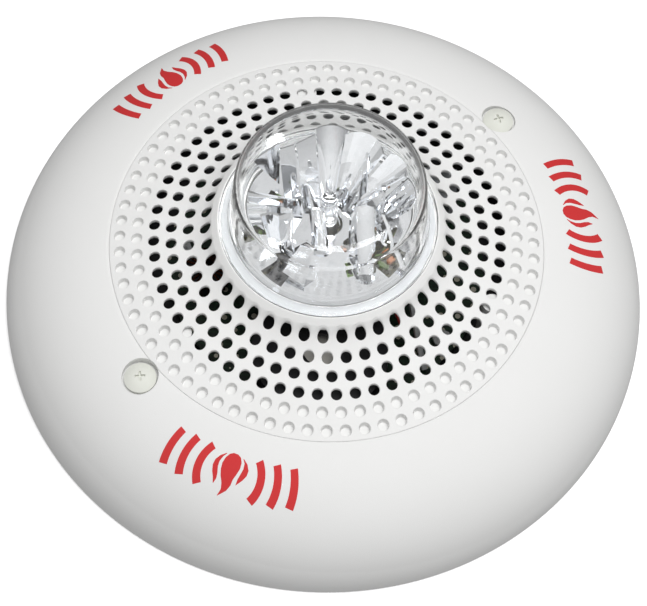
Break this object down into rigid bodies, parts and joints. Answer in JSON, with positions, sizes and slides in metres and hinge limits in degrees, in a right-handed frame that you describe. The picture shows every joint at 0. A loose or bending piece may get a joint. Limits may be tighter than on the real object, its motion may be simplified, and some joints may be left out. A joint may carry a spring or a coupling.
{
  "type": "horn strobe",
  "caption": "Round ceiling horn strobe: a low white dome with a perforated sounder grille round a clear strobe lens, on a wiring plate, held by captive screws.",
  "frame": {"origin": "centre of the mounting plate's back face, where the device meets the ceiling", "axes": "+Z out of the ceiling, the way the lens faces; +Y from the wire opening towards the terminal block"},
  "size_m": [0.173, 0.173, 0.0601],
  "materials": {
    "white_plastic": "satin moulded, fine texture",
    "screw_cream": "cream paint over steel",
    "clear_plastic": "clear moulded polycarbonate",
    "grey_rubber": "soft seal",
    "mirror_plating": "vacuum plated plastic",
    "tube_glass": "clear glass",
    "steel": "plated steel",
    "brass": "plain",
    "green_board": "solder resist",
    "black_plastic": "fine texture",
    "grey_plastic": "moulded",
    "ceramic_white": "fired ceramic with a silvered face",
    "copper": "enamelled copper winding",
    "signal_red": "red print and red lead sleeve",
    "grey_sleeve": "lead sleeve"
  },
  "bodies": {
    "plate": {"mounting_plate": "white_plastic", "terminal_block": "black_plastic", "shorting_spring": "brass", "thread_insert_1": "brass", "thread_insert_2": "brass"},
    "head": {"front_bezel": "white_plastic", "grille_panel": "white_plastic", "lens": "clear_plastic", "lens_gasket": "grey_rubber", "reflector": "mirror_plating", "strobe_board": "green_board", "tube_cap_lower": "steel", "flash_tube": "tube_glass", "tube_cap_upper": "steel", "chassis": "black_plastic", "main_board": "green_board", "sounder_cup": "black_plastic", "sounder_diaphragm": "brass", "piezo_disc": "ceramic_white", "sounder_cap": "black_plastic", "flash_capacitor": "black_plastic", "trigger_transformer": "grey_plastic", "boost_inductor": "copper", "strobe_lead_grey": "grey_sleeve", "strobe_lead_red": "signal_red", "contact_pin_1": "brass", "contact_pin_2": "brass", "contact_pin_3": "brass", "contact_pin_4": "brass", "retaining_washer_1": "grey_plastic", "retaining_washer_2": "grey_plastic", "case_screw_1": "steel", "board_screw_1": "steel", "board_spacer_1": "brass", "case_screw_2": "steel", "board_screw_2": "steel", "board_spacer_2": "brass", "case_screw_3": "steel", "board_screw_3": "steel", "board_spacer_3": "brass"},
    "captive_screw_1": {"captive_screw_1": "screw_cream"},
    "captive_screw_2": {"captive_screw_2": "screw_cream"},
    "terminal_screw_1": {"terminal_screw_1": "steel"},
    "terminal_screw_2": {"terminal_screw_2": "steel"},
    "terminal_screw_3": {"terminal_screw_3": "steel"},
    "terminal_screw_4": {"terminal_screw_4": "steel"},
    "candela_slider": {"candela_slider": "white_plastic"},
    "tone_dial": {"tone_dial": "white_plastic"}
  },
  "joints": [
    {"name": "head_lift", "type": "slide", "parent": "plate", "child": "head", "axis": [0, 0, 1], "range_m": [0, 0.04]},
    {"name": "captive_screw_1_turn", "type": "hinge", "parent": "head", "child": "captive_screw_1", "pos_m": [0.04461, 0.0416, 0.025], "axis": [0, 0, 1], "continuous": true},
    {"name": "captive_screw_2_turn", "type": "hinge", "parent": "head", "child": "captive_screw_2", "pos_m": [-0.04461, -0.0416, 0.025], "axis": [0, 0, 1], "continuous": true},
    {"name": "terminal_screw_1_turn", "type": "hinge", "parent": "plate", "child": "terminal_screw_1", "pos_m": [-0.012, 0.0165, 0.008], "axis": [0, 0, 1], "continuous": true},
    {"name": "terminal_screw_2_turn", "type": "hinge", "parent": "plate", "child": "terminal_screw_2", "pos_m": [-0.004, 0.0165, 0.008], "axis": [0, 0, 1], "continuous": true},
    {"name": "terminal_screw_3_turn", "type": "hinge", "parent": "plate", "child": "terminal_screw_3", "pos_m": [0.004, 0.0165, 0.008], "axis": [0, 0, 1], "continuous": true},
    {"name": "terminal_screw_4_turn", "type": "hinge", "parent": "plate", "child": "terminal_screw_4", "pos_m": [0.012, 0.0165, 0.008], "axis": [0, 0, 1], "continuous": true},
    {"name": "candela_select", "type": "slide", "parent": "head", "child": "candela_slider", "axis": [0, 1, 0], "range_m": [0, 0.00762]},
    {"name": "tone_select", "type": "hinge", "parent": "head", "child": "tone_dial", "pos_m": [-0.024, 0.006, 0.01], "axis": [0, 0, 1], "range_deg": [0, 270]}
  ]
}
